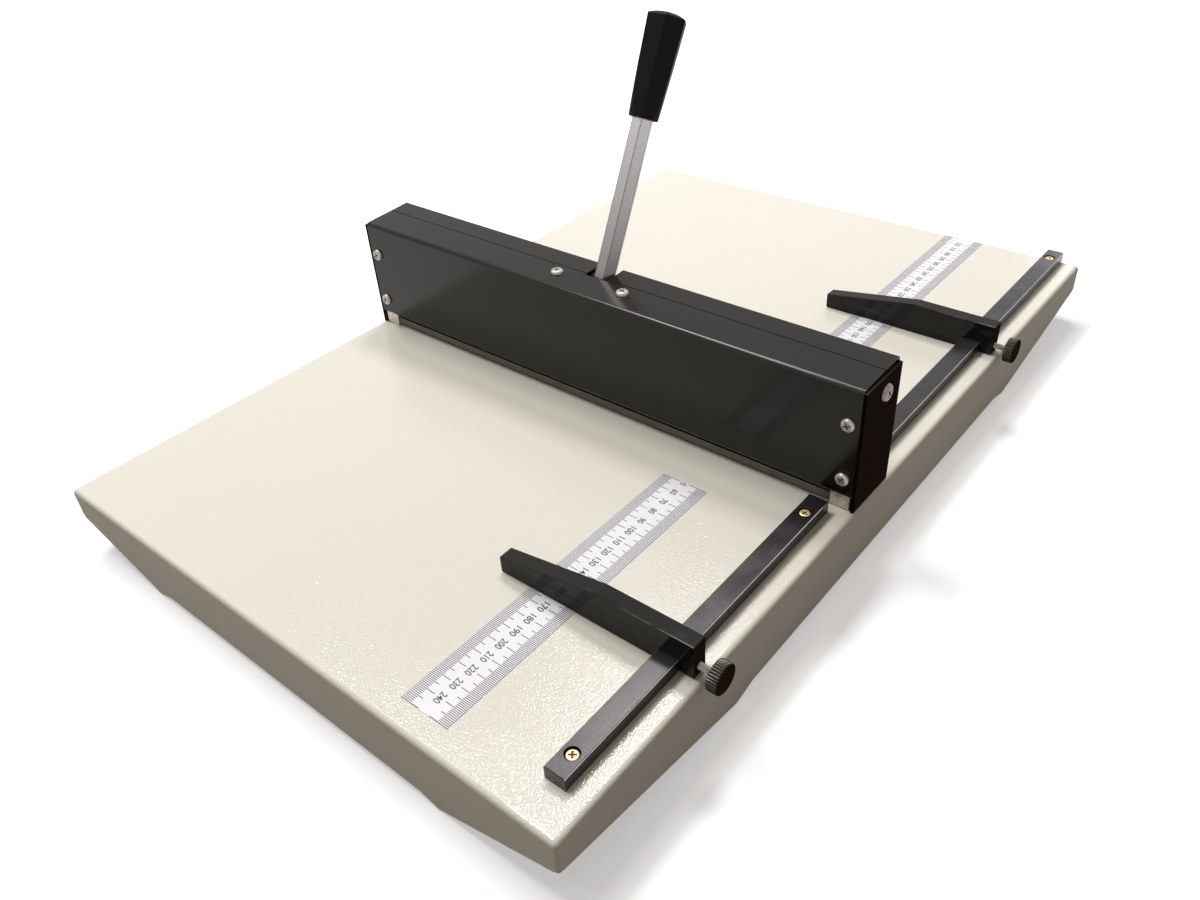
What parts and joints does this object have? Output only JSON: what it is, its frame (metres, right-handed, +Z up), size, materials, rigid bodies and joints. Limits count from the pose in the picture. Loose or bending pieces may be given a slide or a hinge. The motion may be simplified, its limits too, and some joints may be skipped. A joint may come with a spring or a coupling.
{
  "type": "desktop paper creasing machine",
  "caption": "Desktop paper creasing machine: pressed steel table, a creasing head across it with a hand lever, and paper stops with thumb screws on side rails.",
  "frame": {"origin": "on the ground, at the middle of the whole machine's outline seen from above", "axes": "+X along the crease towards the rails, +Y from the front table to the rear table, +Z up"},
  "size_m": [0.3948, 0.598, 0.2601],
  "materials": {
    "table_white": "textured powder coat, semi-gloss",
    "head_black": "semi-gloss paint",
    "stop_black": "gloss paint",
    "black_plastic": "moulded, semi-gloss",
    "rail_grey": "satin grey anodised",
    "polished_steel": "nickel plated",
    "machined_steel": "machined",
    "blackened_steel": "black oxide",
    "tool_steel": "ground and hardened",
    "galvanised_steel": "zinc coated sheet",
    "zinc_screws": "bright zinc plated",
    "black_screws": "blackened",
    "brass_screws": "yellow passivated",
    "bronze": "sintered bronze",
    "rubber": "matte",
    "polyurethane": "matte",
    "ruler_white": "printed scale strip"
  },
  "bodies": {
    "base": {"base_table": "table_white", "foot_front_left": "rubber", "foot_front_right": "rubber", "foot_rear_left": "rubber", "foot_rear_right": "rubber", "anvil_bar": "tool_steel", "bed_channel": "galvanised_steel", "post_bolts": "zinc_screws", "left_post": "machined_steel", "right_post": "machined_steel", "shaft_bushes": "bronze", "left_end_plate": "head_black", "right_end_plate": "head_black", "end_plate_screws": "zinc_screws", "left_lift_spring": "polyurethane", "right_lift_spring": "polyurethane", "bridge_bar": "head_black", "bridge_screws": "black_screws", "front_cover": "head_black", "rear_cover": "head_black", "front_cover_screws": "zinc_screws", "rear_cover_screws": "zinc_screws", "top_cover_screws": "zinc_screws", "front_rail": "rail_grey", "rear_rail": "rail_grey", "rail_screws": "brass_screws", "front_ruler": "ruler_white", "rear_ruler": "ruler_white"},
    "lever": {"cam_shaft": "machined_steel", "cams": "machined_steel", "lever_hub": "machined_steel", "lever_rod": "polished_steel", "lever_grip": "black_plastic"},
    "press": {"press_bar": "blackened_steel", "creasing_blade": "tool_steel", "blade_set_screws": "black_screws"},
    "front_stop": {"front_stop_arm": "stop_black"},
    "front_clamp": {"front_clamp_knob": "black_plastic", "front_clamp_stud": "zinc_screws"},
    "rear_stop": {"rear_stop_arm": "stop_black"},
    "rear_clamp": {"rear_clamp_knob": "black_plastic", "rear_clamp_stud": "zinc_screws"}
  },
  "joints": [
    {"name": "lever_turn", "type": "hinge", "parent": "base", "child": "lever", "pos_m": [-0.0044, -0.035, 0.0985], "axis": [-1, 0, 0], "range_deg": [0, 60]},
    {"name": "press_travel", "type": "slide", "parent": "base", "child": "press", "axis": [0, 0, -1], "range_m": [0, 0.00121], "deforming": ["left_lift_spring", "right_lift_spring"]},
    {"name": "front_stop_slide", "type": "slide", "parent": "base", "child": "front_stop", "axis": [0, 1, 0], "range_m": [-0.077, 0.126]},
    {"name": "rear_stop_slide", "type": "slide", "parent": "base", "child": "rear_stop", "axis": [0, 1, 0], "range_m": [-0.1465, 0.1455]},
    {"name": "front_clamp_turn", "type": "hinge", "parent": "front_stop", "child": "front_clamp", "pos_m": [0.1914, -0.194, 0.0495], "axis": [1, 0, 0], "range_deg": [-360, 150]},
    {"name": "rear_clamp_turn", "type": "hinge", "parent": "rear_stop", "child": "rear_clamp", "pos_m": [0.1914, 0.1445, 0.0495], "axis": [1, 0, 0], "range_deg": [-360, 150]}
  ],
  "couplings": [
    {"joint": "press_travel", "follows": "lever_turn", "m_per_rad": 0.0011459}
  ]
}
